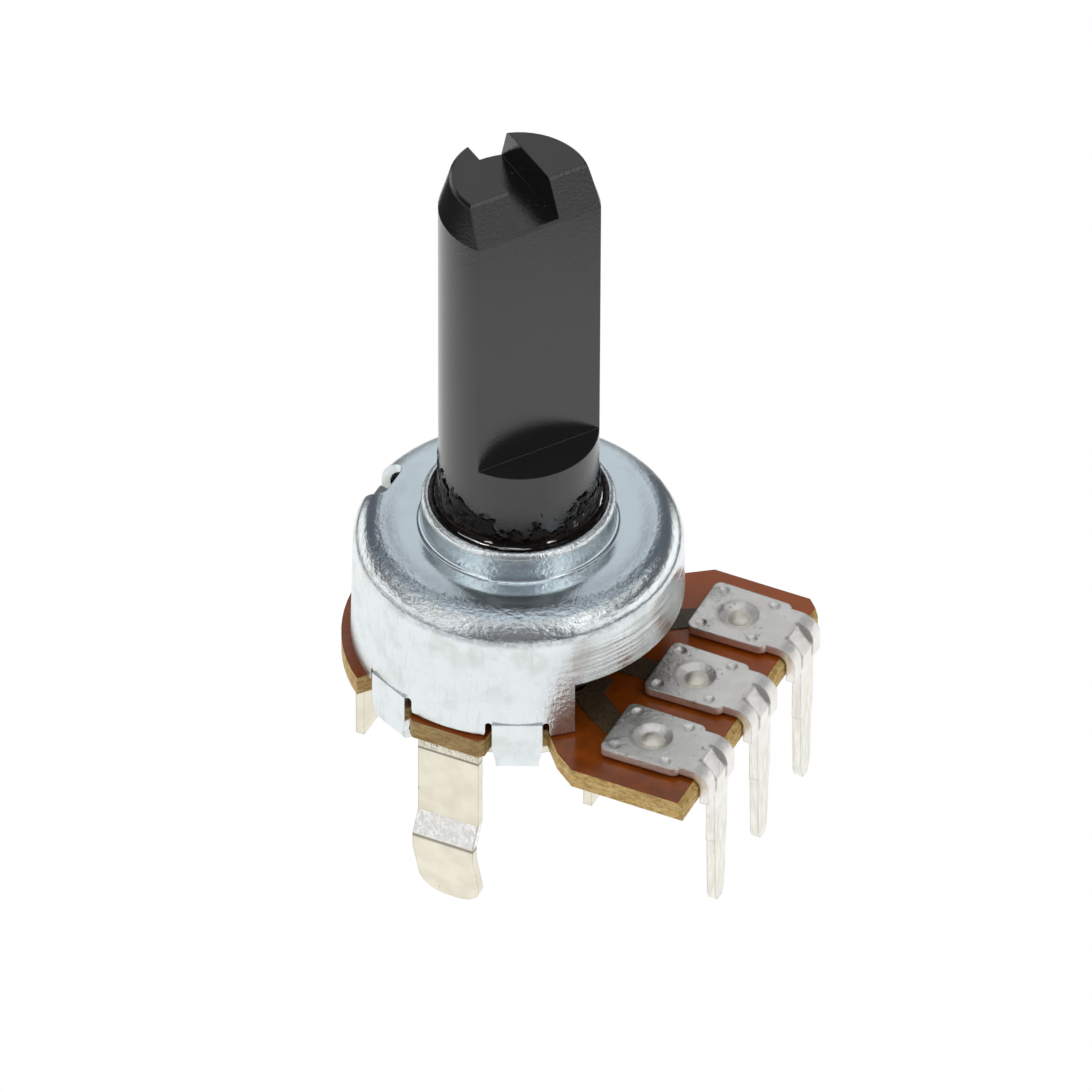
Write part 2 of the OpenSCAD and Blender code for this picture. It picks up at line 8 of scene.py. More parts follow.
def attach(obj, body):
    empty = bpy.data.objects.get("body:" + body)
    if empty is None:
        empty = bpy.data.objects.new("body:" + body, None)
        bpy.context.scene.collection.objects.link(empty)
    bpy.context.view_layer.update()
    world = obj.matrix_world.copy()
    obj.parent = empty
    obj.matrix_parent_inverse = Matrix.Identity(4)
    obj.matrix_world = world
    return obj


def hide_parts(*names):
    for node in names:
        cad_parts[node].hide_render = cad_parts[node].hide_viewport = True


MM = 0.001

# Where the part's front is, the side on which its shoulder is most worn
FRONT_AZIMUTH = math.radians(25.1)

# Camera, fitted to the part's outline in the photograph
CAMERA_AZIMUTH = FRONT_AZIMUTH
CAMERA_ELEVATION = math.radians(40.5)
CAMERA_ROLL = math.radians(0.25)
CAMERA_DISTANCE = 600 * MM
CAMERA_TARGET = Vector((0.93, 0.44, 8.0)) * MM
CAMERA_LENS = 529.1
CAMERA_SENSOR = 36.0
CAMERA_CLIP = (0.01, 5.0)

# Heights and radii that the looks share with the part, in millimetres
SHAFT_R = 3.0
COLLAR_R = 3.65
RIVET_X = 7.35
PITCH = 3.85
COLLAR_Z = 10.6
COLLAR_FOOT_Z = 9.35
FLOOR_Z = -4.9
FLOOR_R = 42.0
FLOOR_SIDES = 96

# Zones of the finishes, in millimetres: the ends of a fade, or the edges of a strip

# Case: its wall, shoulder, top and collar, and the worked metal round the opening
LOW_WALL_Z = (5.4, 7.4)
WALL_Z = (7.6, 8.5)
# The strip where the wall bends into the shoulder, darkened as painted shade
BEND_SHADE_Z = (8.3, 8.7)
SHOULDER_Z = (8.3, 9.0)
SHOULDER_R = (4.9, 5.3)
# The top, tinted bluer as a painted reflection of the sky
TOP_Z = (9.2, 9.5)
SAG_R = (4.15, 5.65)
COLLAR_WALL_Z = (9.4, 9.6)
# The corner at the collar's foot, darkened as painted shade
COLLAR_FOOT_R = (COLLAR_R - 0.05, COLLAR_R + 0.12)
COLLAR_FOOT_STRIP_Z = (COLLAR_FOOT_Z - 0.05, COLLAR_FOOT_Z + 0.15)
ABOVE_OPENING_X = (3.2, 5.4)
ABOVE_OPENING_Z = (5.6, 8.1)
BESIDE_OPENING_X = (3.0, 4.4)
BESIDE_OPENING_Z = (6.6, 7.6)
# How squarely a place has to look to the front to be worn, as a cosine
WORN_FADE = (0.45, 0.95)
# How fine the rim's crinkles are round it, by the radian, and across it, by the millimetre
RIM_ALONG = 19.0
RIM_ACROSS = 3.8

# Shaft: the edges of its tip, where the nicks and painted edge highlights are
TIP_EDGE_Z = (24.2, 24.6)

# Grease: the top of the bead, its edge, and the glints by their angle round the shaft (radians)
# and their distance from its axis
BEAD_TOP_Z = (COLLAR_Z + 0.16, COLLAR_Z + 0.2)
BEAD_EDGE_R = (3.22, 3.36)
GLINT_TOP_Z = (COLLAR_Z + 0.12, COLLAR_Z + 0.2)
# The glints are painted highlights: pale metallic patches on the grease, at fixed places
LONG_GLINT_TURN = (-1.36, -1.0)
LONG_GLINT_R = (3.27, 3.33)
LEFT_GLINT_TURN = (-1.54, -1.45)
RIGHT_GLINT_TURN = (-0.78, -0.68)
SHORT_GLINT_R = (3.13, 3.18)
# A painted glint on the film up the shaft, by its angle and height
FILM_GLINT_TURN = (-0.36, -0.2)
FILM_GLINT_Z = (COLLAR_Z + 0.25, COLLAR_Z + 0.55)

# Grease bead: its outline, as distance out from the shaft and height above the collar, the
# number of its sides, and the size and height of its lumps
BEAD_OUTLINE = [
    (-0.03, -0.25), (0.35, -0.01), (0.375, 0.02), (0.34, 0.05), (0.24, 0.05), (0.15, 0.07),
    (0.1, 0.14), (0.06, 0.28), (0.045, 0.6), (0.04, 1.2), (0.04, 1.9), (-0.03, 1.93),
]
BEAD_SIDES = 240
LUMP_SIZE = 0.6
LUMP_SWELL = 0.06

# Board: the back, lighter as painted light, and the sawn edge of the lugs, darker as painted
# shade, by the square of its y
BOARD_LIT_BACK_Y = (-3.0, 6.0)
LUG_Y_SQUARED = (35.0, 37.0)
LUG_X = (1.7, 2.2)

# Terminals: the dish round the rivet, the pad with its inner end, the pin, and the sides of the
# dent at the bend
DISH_R = (0.72, 0.88)
PAD_Z = (3.95, 4.15)
PAD_INNER_X = (6.0, 7.4)
PIN_Z = (1.4, 2.6)
# The sides of the dent, where shade is painted
DENT_Y = (0.36, 0.54)
DENT_X = (9.4, 9.52)
DENT_Z = (2.95, 3.2)

# Base plate: the legs, by the square of their y, with their kink, painted with a highlight, their
# bend, and the creases, painted with shadow
LEG_Y_SQUARED = (30.0, 31.5)
KINK_Z = (-1.48, -0.68)
LEG_BEND_Z = (2.42, 3.1)
KINK_SHADOW_Z = (-1.64, -1.5)
BEND_SHADOW_Z = (2.34, 2.42)

# Brightness of the studio along the camera's vertical plane: the angle is 0 at the horizon on
# the camera's side, 90 straight up and 180 at the horizon beyond the part, in degrees
STUDIO = [
    (-180, (0.42, 0.42, 0.42)), (-8, (0.24, 0.24, 0.24)), (13, (0.19, 0.19, 0.2)),
    (29, (0.17, 0.17, 0.19)), (40, (0.36, 0.37, 0.4)), (51, (0.26, 0.27, 0.3)),
    (62, (0.5, 0.52, 0.56)), (80, (0.62, 0.64, 0.68)), (100, (0.64, 0.66, 0.68)),
    (119, (0.5, 0.51, 0.53)), (132, (0.67, 0.68, 0.7)), (160, (0.73, 0.74, 0.76)),
    (172, (0.52, 0.53, 0.54)), (180, (0.42, 0.42, 0.42)),
]
# The light at the studio's sides, at the horizon, above it, below the floor's rim and high up,
# and that of the ring of light round the camera
SIDE_HORIZON = (1.12, 1.12, 1.12)
SIDE_MIDDLE = (0.12, 0.125, 0.14)
SIDE_LOW = (0.06, 0.06, 0.06)
SIDE_HIGH = (1.1, 1.1, 1.1)
RING_LIGHT = (1.15, 1.17, 1.2)
# Where each of them lies, as the part of a direction that points aside, up or at the camera
SIDE_FADE = (0.2, 0.36)
HORIZON_ASIDE = (0.48, 0.62)
HORIZON_UP = (-0.18, 0.26)
LOW_UP = (-0.3, -0.22)
HIGH_ASIDE = (0.5, 0.6)
HIGH_UP = (0.66, 0.7)
RING_FACING = (0.72, 0.85)
RING_UP = (0.1, 0.35)
# The brightest patches of the ring: how far each lies ahead, aside and up, how near to that a
# direction has to be, and their light
PATCH_WAYS = [(0.45, -0.6, 0.66), (0.5, 0.56, 0.66)]
PATCH_NEAR = (0.975, 0.99)
PATCH_LIGHT = (2.0, 2.0, 2.0)
STUDIO_PEAK = 2.0


def colour(code):
    """The linear colour of a six-digit sRGB code."""
    parts = [int(code[i:i + 2], 16) / 255 for i in (0, 2, 4)]
    linear = [p / 12.92 if p <= 0.04045 else ((p + 0.055) / 1.055) ** 2.4 for p in parts]
    return (*linear, 1.0)


class Value:
    """An output socket of a node tree, with arithmetic."""

    def __init__(self, graph, socket):
        self.graph = graph
        self.socket = socket

    def __add__(self, other):
        return self.graph.math("ADD", self, other)

    def __sub__(self, other):
        return self.graph.math("SUBTRACT", self, other)

    def __rsub__(self, other):
        return self.graph.math("SUBTRACT", other, self)

    def __mul__(self, other):
        return self.graph.math("MULTIPLY", self, other)

    def __truediv__(self, other):
        return self.graph.math("DIVIDE", self, other)

    __radd__ = __add__
    __rmul__ = __mul__


class Graph:
    """A node tree that is built up by calls that each return a Value."""

    def __init__(self, tree):
        self.tree = tree
        tree.nodes.clear()

    def node(self, kind, inputs=None, out=0, stops=(), **settings):
        """A node of that kind: its settings and stops first, then its sockets."""
        made = self.tree.nodes.new(kind)
        for key, value in settings.items():
            setattr(made, key, value)
        for i, (position, light) in enumerate(stops):
            elements = made.color_ramp.elements
            stop = elements[i] if i < 2 else elements.new(1.0)
            stop.position = position
            stop.color = light
        for key, value in (inputs or {}).items():
            if isinstance(value, Value):
                self.tree.links.new(value.socket, made.inputs[key])
            else:
                made.inputs[key].default_value = value
        return Value(self, made.outputs[out]) if len(made.outputs) else None

    def math(self, operation, *values):
        return self.node("ShaderNodeMath", dict(enumerate(values)), operation=operation)

    def vector(self, operation, *values, out=0):
        return self.node(
            "ShaderNodeVectorMath", dict(enumerate(values)), out=out, operation=operation)

    def smooth(self, value, low, high):
        """0 below low, 1 above high, and smooth between them."""
        return self.node("ShaderNodeMapRange", {0: value, 1: low, 2: high},
                         interpolation_type="SMOOTHSTEP")

    def band(self, value, low, high, soft):
        """1 between low and high, and 0 outside, with soft edges."""
        return self.smooth(value, low - soft, low + soft) * (
            1.0 - self.smooth(value, high - soft, high + soft))

    def mix(self, share, first, second):
        """The second colour over the first, as far as the share says."""
        return self.node(
            "ShaderNodeMix", {0: share, 6: first, 7: second}, out=2, data_type="RGBA")

    def place(self):
        """The point on the part, in millimetres."""
        return self.vector(
            "MULTIPLY", self.node("ShaderNodeTexCoord", out="Object"), (1 / MM,) * 3)

    def stretch(self, vector, *factors):
        """The vector with each axis times its factor, which makes a pattern finer along it."""
        return self.vector("MULTIPLY", vector, factors)

    def split(self, vector):
        """The vector's three parts."""
        first = self.node("ShaderNodeSeparateXYZ", {0: vector})
        return [Value(self, socket) for socket in first.socket.node.outputs]

    def join(self, x, y, z):
        """A vector of three parts."""
        return self.node("ShaderNodeCombineXYZ", {0: x, 1: y, 2: z})

    def normal(self):
        """How far the flat face at the point looks along each axis."""
        return self.split(self.node("ShaderNodeNewGeometry", out="True Normal"))

    def noise(self, vector, scale, detail=3.0, roughness=0.5):
        return self.node("ShaderNodeTexNoise", {
            "Vector": vector, "Scale": scale, "Detail": detail, "Roughness": roughness})

    def cells(self, vector, scale):
        """Soft hollows with ridges between them."""
        return self.node("ShaderNodeTexVoronoi", {"Vector": vector, "Scale": scale},
                         feature="SMOOTH_F1")

    def bump(self, height, depth, edge=0.0):
        """Normals of a surface whose height value spans that depth, with edges of that radius."""
        inputs = {"Strength": 1.0, "Distance": depth * MM, "Height": height}
        if edge:
            inputs["Normal"] = self.node("ShaderNodeBevel", {"Radius": edge * MM}, samples=6)
        return self.node("ShaderNodeBump", inputs)

    def edges(self, width):
        """1 along the sharp edges and 0 elsewhere."""
        rounded = self.node("ShaderNodeBevel", {"Radius": width * MM}, samples=6)
        flat = self.node("ShaderNodeNewGeometry", out="Normal")
        alike = self.vector("DOT_PRODUCT", rounded, flat, out="Value")
        return 1.0 - self.smooth(alike, 0.8, 0.98)

    def surface(self, **looks):
        """Ends the tree in a surface with these looks."""
        names = {"colour": "Base Color", "roughness": "Roughness", "metallic": "Metallic",
                 "normal": "Normal", "gloss": "Specular IOR Level", "alpha": "Alpha"}
        shader = self.node(
            "ShaderNodeBsdfPrincipled", {names[key]: value for key, value in looks.items()})
        self.node("ShaderNodeOutputMaterial", {"Surface": shader})


def material(name, make):
    """A new material whose tree is drawn by make."""
    made = bpy.data.materials.new(name)
    made.use_nodes = True
    make(Graph(made.node_tree))
    return made


def zinc_case(g):
    """Bright drawn sheet: crinkled shoulder and collar, upright marks near the opening; painted
    shade at the shoulder's bend and the collar's foot, and a painted sky reflection on the top.
    """
    place = g.place()
    x, y, z = g.split(place)
    radius = g.math("SQRT", x * x + y * y)
    low_wall = 1.0 - g.smooth(z, *LOW_WALL_Z)
    wall = 1.0 - g.smooth(z, *WALL_Z)
    top = g.band(z, *TOP_Z, 0.05)
    worked = g.smooth(g.noise(place, 0.22, 1.0), 0.4, 0.62) * 0.4
    worn = g.smooth((x * math.sin(FRONT_AZIMUTH) - y * math.cos(FRONT_AZIMUTH)) / radius,
                    *WORN_FADE)
    worked = worked + worn * 0.5 + 0.12
    shoulder = g.smooth(z, *SHOULDER_Z) * g.smooth(radius, *SHOULDER_R) * worked
    collar = g.smooth(z, *COLLAR_WALL_Z)
    sag = g.smooth(radius, *SAG_R)
    # The crinkles lie along the rim: round it they are longer than across it
    rim = g.join(x / radius * RIM_ALONG, y / radius * RIM_ALONG, (z - radius) * RIM_ACROSS)
    crinkle = g.noise(rim, 1.0, 4.0, 0.6)
    ridges = g.cells(rim, 1.4)
    peel = g.noise(place, 3.4, 3.0, 0.6)
    pores = g.noise(place, 6.5, 3.0, 0.6)
    fine = g.noise(place, 11.0, 3.0, 0.6)
    marks = g.noise(g.stretch(place, 6.0, 6.0, 0.7), 1.0, 3.0, 0.6)
    brush = g.noise(g.stretch(place, 0.5, 0.5, 9.0), 1.0, 3.0, 0.6)
    rolled = g.noise(g.stretch(place, 0.16, 0.16, 2.6), 1.0, 2.0, 0.5)
    above_opening = g.band(z, *ABOVE_OPENING_Z, 0.3) * g.smooth(x, *ABOVE_OPENING_X)
    beside_opening = g.band(x, *BESIDE_OPENING_X, 0.4) * (1.0 - g.smooth(z, *BESIDE_OPENING_Z))
    height = (peel - 0.5) * 0.2 + (crinkle - 0.5) * shoulder * 2.3 + ridges * shoulder * 0.6
    height = height + (pores - 0.5) * collar * 1.2 + (fine - 0.5) * 0.12 - sag * 6.4
    height = height + (marks - 0.5) * low_wall * 0.5 + (brush - 0.5) * low_wall * 0.2
    height = height + (rolled - 0.5) * above_opening * 2.0 + (peel - 0.5) * beside_opening * 0.8
    stain = g.smooth(g.noise(place, 0.9, 4.0, 0.6), 0.42, 0.7)
    tone = g.mix(stain * 0.7, colour("e8eef0"), colour("d5dad4"))
    # Painted reflection: the top is tinted bluer, as if the sky showed in it
    tone = g.mix(top * 0.8, tone, colour("d6e4ec"))
    tone = g.mix(wall * g.smooth(marks, 0.55, 0.75) * 0.3, tone, colour("b4bcbd"))
    # Painted shade: a darker strip along the shoulder's bend, strongest at the front and broken by
    # the crinkles
    bend = g.band(z, *BEND_SHADE_Z, 0.15) * worn * (0.2 + g.smooth(crinkle, 0.4, 0.6) * 0.35)
    tone = g.mix(bend, tone, colour("7f848c"))
    # Painted shade: a faint dark strip in the corner at the collar's foot
    foot_shade = g.band(radius, *COLLAR_FOOT_R, 0.05) * g.band(z, *COLLAR_FOOT_STRIP_Z, 0.05)
    tone = g.mix(foot_shade * 0.2, tone, colour("7a7e7e"))
    rough = 0.12 + fine * 0.08 + wall * 0.12 + stain * 0.05
    g.surface(colour=tone, metallic=1.0, roughness=rough, normal=g.bump(height, 0.03, 0.05))


def black_plastic(g):
    """Glossy moulded black plastic with a fine grain and pale nicks along the tip's edges, which
    are partly painted highlights.
    """
    place = g.place()
    z = g.split(place)[2]
    grain = g.noise(place, 9.0, 4.0, 0.65)
    broad = g.noise(place, 0.8, 2.0)
    nick = g.smooth(g.noise(place, 5.5, 2.0, 0.5), 0.72, 0.74) * g.band(z, *TIP_EDGE_Z, 0.1)
    scuff = g.smooth(g.noise(g.stretch(place, 1.0, 1.0, 5.0), 1.2, 3.0), 0.66, 0.7)
    tone = g.mix(g.smooth(broad, 0.3, 0.7), colour("0f0e0e"), colour("141312"))
    # The pale nicks are partly wear and partly painted highlights on the rounded edges
    tone = g.mix(nick * 0.8, tone, colour("6e6a66"))
    rough = 0.11 + grain * 0.08 + scuff * 0.05
    height = (grain - 0.5) * 0.4 + nick * 1.5
    g.surface(colour=tone, roughness=rough, gloss=0.8, normal=g.bump(height, 0.02, 0.045))


def grease(g):
    """Stiff brown-black damping grease: a glossy bead with painted glints, and a torn film of it
    up the shaft.
    """
    place = g.place()
    x, y, z = g.split(place)
    lumps = g.noise(place, 1.4, 3.0, 0.5)
    aside = x * (math.cos(FRONT_AZIMUTH) / SHAFT_R) + y * (math.sin(FRONT_AZIMUTH) / SHAFT_R)
    tear = g.noise(g.stretch(place, 1.0, 1.0, 0.85), 1.5, 6.0, 0.7)
    # Seen from the front, the film reaches highest at the shaft's sides, most at the left one
    reach = g.math("ABSOLUTE", aside) * 0.22 - aside * 0.07 - (z - COLLAR_Z) * 0.24 + 0.13
    film = g.smooth(tear + reach, 0.51, 0.525)
    film = g.math("MAXIMUM", film, 1.0 - g.smooth(z, *BEAD_TOP_Z))
    around = g.math("ARCTAN2", y, x)
    radius = g.math("SQRT", x * x + y * y)
    glint_ripple = g.noise(g.join(around * 1.6, radius * 6.0, z * 6.0), 1.0, 2.0, 0.4)
    low = 1.0 - g.smooth(z, *GLINT_TOP_Z)
    wander = radius + (lumps - 0.5) * 0.1
    placed_glints = g.band(around, *LONG_GLINT_TURN, 0.03) * g.band(wander, *LONG_GLINT_R, 0.01)
    short_glints = g.band(around, *LEFT_GLINT_TURN, 0.02) + g.band(around, *RIGHT_GLINT_TURN, 0.02)
    placed_glints = placed_glints + short_glints * g.band(wander, *SHORT_GLINT_R, 0.01)
    film_glint = g.band(around, *FILM_GLINT_TURN, 0.05) * g.smooth(tear, 0.5, 0.54) * g.band(
        z, *FILM_GLINT_Z, 0.04)
    # Painted highlights: pale metallic glints scattered round the bead, and placed at its front
    # and on the film
    glint = g.math("MAXIMUM", g.smooth(glint_ripple, 0.66, 0.68), placed_glints) * low + film_glint
    tone = g.mix(g.smooth(lumps, 0.4, 0.7), colour("0d0806"), colour("1a110c"))
    tone = g.mix(glint, tone, colour("d9d6d2"))
    g.surface(colour=tone, metallic=glint, roughness=0.07 + lumps * 0.08, alpha=film, gloss=0.12,
              normal=g.bump(lumps - g.smooth(radius, *BEAD_EDGE_R) * 0.7, 0.1))


def moulded(dark, light):
    """Satin moulded plastic between two tones."""
    def make(g):
        place = g.place()
        grain = g.noise(place, 5.0, 4.0, 0.6)
        tone = g.mix(g.smooth(grain, 0.3, 0.7), colour(dark), colour(light))
        g.surface(colour=tone, roughness=0.4 + grain * 0.15, normal=g.bump(grain, 0.01))
    return make


def phenolic_board(g):
    """Glossy brown laminate with golden, fibrous sawn edges."""
    place = g.place()
    x, y = g.split(place)[:2]
    nz = g.normal()[2]
    face = g.smooth(nz * nz, 0.6, 0.8)
    cloud = g.noise(place, 1.1, 4.0, 0.6)
    specks = g.noise(g.stretch(place, 4.0, 4.0, 7.0), 1.0, 4.0, 0.7)
    fibres = g.noise(g.stretch(place, 1.3, 1.3, 9.0), 1.0, 5.0, 0.7)
    back = g.smooth(y, *BOARD_LIT_BACK_Y)
    top = g.mix(g.smooth(cloud, 0.35, 0.7), colour("88410f"), colour("a24e14"))
    # Painted light: the top is lighter towards the back
    top = g.mix(back * 0.7, top, colour("bb580f"))
    edge = g.mix(g.smooth(specks, 0.35, 0.65), colour("a8843f"), colour("deb96f"))
    edge = g.mix(g.smooth(fibres, 0.5, 0.7) * 0.7, edge, colour("f2dca0"))
    edge = g.mix(g.smooth(fibres, 0.42, 0.3) * 0.5, edge, colour("6d4c1c"))
    # Painted shade: the sawn edge of the lugs is darker, as under the case
    lug_shade = g.smooth(y * y, *LUG_Y_SQUARED) * (1.0 - g.smooth(x, *LUG_X))
    edge = g.mix(lug_shade * 0.5, edge, colour("6d5230"))
    rough = 0.2 + (1.0 - face) * 0.4 + cloud * 0.06
    height = cloud * 0.4 + (1.0 - face) * specks * 2.0
    g.surface(colour=g.mix(face, edge, top), roughness=rough,
              normal=g.bump(height, 0.02, 0.05))


def printed(dark, light, rough):
    """A screen-printed film between two tones."""
    def make(g):
        place = g.place()
        grain = g.noise(place, 8.0, 3.0, 0.6)
        tone = g.mix(g.smooth(grain, 0.35, 0.7), colour(dark), colour(light))
        g.surface(colour=tone, roughness=rough + grain * 0.1, normal=g.bump(grain, 0.01))
    return make


def tinned_terminal(g):
    """Dull tinned sheet: grey-white on the pad, brighter in the bend and cream down the pin."""
    place = g.place()
    x, y, z = g.split(place)
    offset = g.math("PINGPONG", y + PITCH / 2, PITCH / 2)
    beside = PITCH / 2 - offset
    dx = x - RIVET_X
    from_rivet = g.math("SQRT", dx * dx + beside * beside)
    cloud = g.noise(place, 1.5, 3.0, 0.55)
    ring = g.band(from_rivet + (cloud - 0.5) * 0.3, *DISH_R, 0.08)
    grain = g.noise(place, 6.0, 4.0, 0.6)
    specks = g.smooth(g.noise(place, 4.0, 2.0, 0.5), 0.68, 0.73)
    drawn = g.noise(g.stretch(place, 5.0, 5.0, 0.9), 1.0, 3.0, 0.6)
    on_pad = g.smooth(z, *PAD_Z)
    inner = 1.0 - g.smooth(x, *PAD_INNER_X)
    pin = 1.0 - g.smooth(z, *PIN_Z)
    tone = g.mix(g.smooth(cloud, 0.35, 0.7), colour("f4f1ec"), colour("fcfaf5"))
    tone = g.mix(pin, tone, g.mix(g.smooth(drawn, 0.35, 0.65), colour("e9e8df"), colour("faf8f0")))
    dirt = ring * (0.08 + inner * 0.35) + specks * 0.3 + inner * g.smooth(cloud, 0.46, 0.7) * 0.45
    tone = g.mix(on_pad * dirt, tone, colour("47433d"))
    # Painted shade: darker in the dent at the bend
    dent_shade = g.band(beside, *DENT_Y, 0.05) * g.smooth(x, *DENT_X) * g.smooth(z, *DENT_Z)
    tone = g.mix(dent_shade * 0.45, tone, colour("5b5853"))
    # Painted shade: darker along the sharp edges
    tone = g.mix(g.edges(0.07) * 0.5, tone, colour("84817b"))
    height = grain * 0.6 + cloud * 1.4 + specks * 0.5 + drawn * pin * 0.8
    g.surface(colour=tone, metallic=1.0, roughness=0.4 + grain * 0.14,
              normal=g.bump(height, 0.03, 0.09))


def rivet_metal(g):
    """Tinned rivet heads, slightly dull."""
    place = g.place()
    grain = g.noise(place, 3.0, 3.0, 0.6)
    tone = g.mix(g.smooth(grain, 0.35, 0.7), colour("f6f1e2"), colour("fdf9ec"))
    g.surface(colour=tone, metallic=1.0, roughness=0.5 + grain * 0.12,
              normal=g.bump(grain, 0.02, 0.08))


def spring_bronze(g):
    """Thin springy sheet of the wiper, dulled by handling."""
    place = g.place()
    grain = g.noise(place, 6.0, 3.0, 0.6)
    tone = g.mix(g.smooth(grain, 0.35, 0.7), colour("6d5a40"), colour("8a7353"))
    g.surface(colour=tone, metallic=1.0, roughness=0.38 + grain * 0.12,
              normal=g.bump(grain, 0.01, 0.04))


def tinned_plate(g):
    """Cream tinned sheet with a fine grain, a few nicks and press marks at the bends, a painted
    highlight on the kink, painted shadow under it and at the bend, and painted shade along the
    edges.
    """
    place = g.place()
    y, z = g.split(place)[1:]
    leg = g.smooth(y * y, *LEG_Y_SQUARED)
    kink = g.band(z, *KINK_Z, 0.03) * leg
    bend = g.band(z, *LEG_BEND_Z, 0.06) * leg
    crease_shadows = (g.band(z, *KINK_SHADOW_Z, 0.07) + g.band(z, *BEND_SHADOW_Z, 0.04)) * leg
    grain = g.noise(place, 7.0, 4.0, 0.65)
    cloud = g.noise(place, 1.2, 3.0, 0.5)
    press = g.noise(place, 4.5, 3.0, 0.65)
    nick = g.smooth(g.noise(g.stretch(place, 4.0, 4.0, 1.6), 1.0, 2.0, 0.5), 0.75, 0.77)
    tone = g.mix(g.smooth(cloud, 0.3, 0.7), colour("e4decb"), colour("f0ead9"))
    tone = g.mix(nick * 0.6, tone, colour("8b8374"))
    # Painted shadow: dark lines under the kink and at the bend
    tone = g.mix(crease_shadows * 0.75, tone, colour("57534d"))
    # Painted highlight: the kink's face is near white, flecked by the press marks
    painted_sparkle = g.mix(g.smooth(press, 0.42, 0.58), colour("efede7"), colour("fffefb"))
    tone = g.mix(kink, tone, painted_sparkle)
    # Painted shade: darker along the sharp edges
    tone = g.mix(g.edges(0.07) * 0.4, tone, colour("8d887c"))
    rough = (0.3 + grain * 0.14) * (1.0 - kink * 0.3 - bend * 0.6)
    height = grain * 0.5 + nick * 0.4 + (kink * 0.7 + bend * 6.0) * press
    g.surface(colour=tone, metallic=1.0, roughness=rough, normal=g.bump(height, 0.03, 0.09))


MATERIALS = {
    "zinc_case": zinc_case,
    "black_plastic": black_plastic,
    "grease": grease,
    "rotor_plastic": moulded("1d1c1a", "2a2825"),
    "wiper_spring": spring_bronze,
    "phenolic_board": phenolic_board,
    "carbon_print": printed("14120e", "221e19", 0.55),
    "silver_print": printed("4e3f2f", "6c573f", 0.4),
    "tinned_terminal": tinned_terminal,
    "rivet_metal": rivet_metal,
    "tinned_plate": tinned_plate,
}
NODE_SLOTS = {
    "case": "zinc_case", "shaft": "black_plastic", "damping_grease": "grease",
    "rotor": "rotor_plastic", "wiper": "wiper_spring", "element_board": "phenolic_board",
    "resistive_track": "carbon_print", "collector_track": "silver_print",
    "front_lead": "silver_print", "back_lead": "silver_print",
    "terminal_front": "tinned_terminal", "terminal_middle": "tinned_terminal",
    "terminal_back": "tinned_terminal", "rivet_front": "rivet_metal",
    "rivet_middle": "rivet_metal", "rivet_back": "rivet_metal", "base_plate": "tinned_plate",
}


def dress(frame):
    """Gives every node of the part its material."""
    made = {slot: material(slot, make) for slot, make in MATERIALS.items()}
    for name, obj in frame["nodes"].items():
        for holder in obj.material_slots:
            holder.material = made[NODE_SLOTS[name]]
    return made


def circle(name, sides, radius, height, fill="NOTHING"):
    """A circle round the shaft's axis at that height, with its place in its mesh."""
    bpy.ops.object.select_all(action="DESELECT")
    bpy.ops.mesh.primitive_circle_add(
        vertices=sides, radius=radius * MM, fill_type=fill, location=(0, 0, height * MM))
    made = bpy.context.object
    made.name = name
    bpy.ops.object.transform_apply(location=True)
    return made


def grease_bead(finish):
    """The ring of grease in the collar's flare, with the film that creeps up the shaft."""
    outline = [(SHAFT_R + out, COLLAR_Z + up) for out, up in BEAD_OUTLINE]
    radius, height = outline[0]
    bead = circle("grease_bead", BEAD_SIDES, radius, height)
    bpy.ops.object.mode_set(mode="EDIT")
    bpy.ops.mesh.select_all(action="SELECT")
    for after, above in outline[1:]:
        rise = (above - height) * MM
        bpy.ops.mesh.extrude_edges_move(TRANSFORM_OT_translate={"value": (0, 0, rise)})
        grow = after / radius
        bpy.ops.transform.resize(value=(grow, grow, 1), center_override=(0, 0, 0))
        radius, height = after, above
    bpy.ops.mesh.select_all(action="DESELECT")
    bpy.ops.mesh.select_non_manifold()
    bpy.ops.mesh.bridge_edge_loops()
    bpy.ops.mesh.select_all(action="SELECT")
    bpy.ops.mesh.normals_make_consistent(inside=False)
    bpy.ops.object.mode_set(mode="OBJECT")
    lumps = bpy.data.textures.new("grease_lumps", "CLOUDS")
    lumps.noise_scale = LUMP_SIZE * MM
    swell = bead.modifiers.new("swell", "DISPLACE")
    swell.texture = lumps
    swell.strength = LUMP_SWELL * MM
    bpy.ops.object.modifier_apply(modifier="swell")
    bpy.ops.object.shade_smooth()
    bead.data.materials.append(finish)
    return bead


def scaled(light):
    """A light's colour as a share of the studio's peak."""
    return tuple(c / STUDIO_PEAK for c in light) + (1.0,)


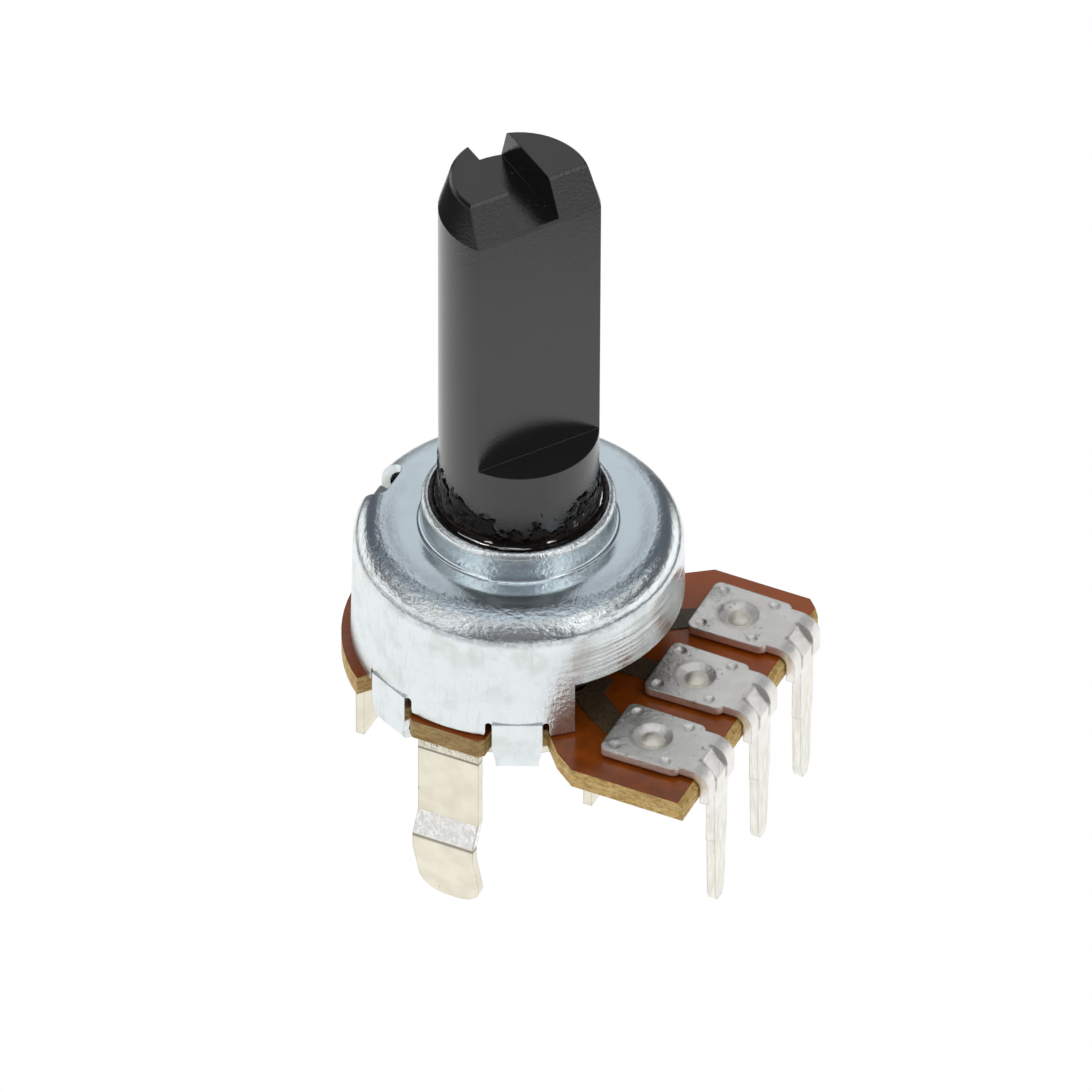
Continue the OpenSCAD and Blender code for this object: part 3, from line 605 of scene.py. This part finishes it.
def studio():
    """Soft light from a shaded studio, white to the camera."""
    world = bpy.data.worlds.new("studio")
    world.use_nodes = True
    bpy.context.scene.world = world
    g = Graph(world.node_tree)
    way = g.node("ShaderNodeTexCoord", out="Generated")
    front = (math.sin(CAMERA_AZIMUTH), -math.cos(CAMERA_AZIMUTH), 0.0)
    side = (math.cos(CAMERA_AZIMUTH), math.sin(CAMERA_AZIMUTH), 0.0)
    ahead = g.vector("DOT_PRODUCT", way, front, out="Value")
    up = g.split(way)[2]
    facing = ahead * math.cos(CAMERA_ELEVATION) + up * math.sin(CAMERA_ELEVATION)
    turn = g.math("ARCTAN2", up, ahead) / (2 * math.pi) + 0.5
    ramp = g.node("ShaderNodeValToRGB", {0: turn}, stops=[
        (angle / 360 + 0.5, scaled(light)) for angle, light in STUDIO])
    aside = g.math("ABSOLUTE", g.vector("DOT_PRODUCT", way, side, out="Value"))
    high = g.smooth(aside, *HIGH_ASIDE) * g.smooth(up, *HIGH_UP)
    beside = g.mix(high, scaled(SIDE_MIDDLE), scaled(SIDE_HIGH))
    beside = g.mix(g.smooth(up, *LOW_UP), scaled(SIDE_LOW), beside)
    light = g.mix(g.smooth(aside, *SIDE_FADE), ramp, beside)
    level = g.band(up, *HORIZON_UP, 0.06) * g.smooth(aside, *HORIZON_ASIDE)
    light = g.mix(level, light, scaled(SIDE_HORIZON))
    ring = g.band(facing, *RING_FACING, 0.04) * g.smooth(up, *RING_UP)
    light = g.mix(ring, light, scaled(RING_LIGHT))
    for forward, sideways, upward in PATCH_WAYS:
        patch = Vector(front) * forward + Vector(side) * sideways
        patch.z = upward
        near_patch = g.vector("DOT_PRODUCT", way, patch.normalized(), out="Value")
        light = g.mix(g.smooth(near_patch, *PATCH_NEAR), light, scaled(PATCH_LIGHT))
    seen = g.node("ShaderNodeLightPath", out="Is Camera Ray")
    light = g.mix(seen, light, scaled((1.0, 1.0, 1.0)))
    shader = g.node("ShaderNodeBackground", {"Color": light, "Strength": STUDIO_PEAK})
    g.node("ShaderNodeOutputWorld", {"Surface": shader})


def floor():
    """A round white floor under the legs, which gives light and takes no shadow."""
    obj = circle("floor", FLOOR_SIDES, FLOOR_R, FLOOR_Z, "NGON")

    def paint(g):
        shader = g.node("ShaderNodeEmission", {"Color": (1.0, 1.0, 1.0, 1.0), "Strength": 1.0})
        g.node("ShaderNodeOutputMaterial", {"Surface": shader})

    obj.data.materials.append(material("floor_paper", paint))


def camera():
    """The camera at the photograph's place."""
    data = bpy.data.cameras.new("camera")
    data.lens = CAMERA_LENS
    data.sensor_width = CAMERA_SENSOR
    data.clip_start, data.clip_end = CAMERA_CLIP
    obj = bpy.data.objects.new("camera", data)
    bpy.context.scene.collection.objects.link(obj)
    a, e = CAMERA_AZIMUTH, CAMERA_ELEVATION
    back = Vector((math.sin(a) * math.cos(e), -math.cos(a) * math.cos(e), math.sin(e)))
    right = Vector((math.cos(a), math.sin(a), 0.0))
    up = back.cross(right)
    c, s = math.cos(CAMERA_ROLL), math.sin(CAMERA_ROLL)
    right, up = right * c + up * s, up * c - right * s
    turn = Matrix((right, up, back)).transposed().to_4x4()
    obj.matrix_world = Matrix.Translation(CAMERA_TARGET + back * CAMERA_DISTANCE) @ turn
    bpy.context.scene.camera = obj


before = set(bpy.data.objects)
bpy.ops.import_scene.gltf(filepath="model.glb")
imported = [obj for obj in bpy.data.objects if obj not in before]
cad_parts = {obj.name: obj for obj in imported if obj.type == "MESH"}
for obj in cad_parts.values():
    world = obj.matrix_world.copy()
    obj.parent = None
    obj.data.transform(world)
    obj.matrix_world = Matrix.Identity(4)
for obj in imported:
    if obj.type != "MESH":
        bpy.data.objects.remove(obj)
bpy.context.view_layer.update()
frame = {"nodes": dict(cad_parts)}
bpy.context.scene.view_settings.view_transform = "Standard"
finishes = dress(frame)
bead = grease_bead(finishes["grease"])
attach(bead, "spindle")
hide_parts("damping_grease")
studio()
floor()
camera()
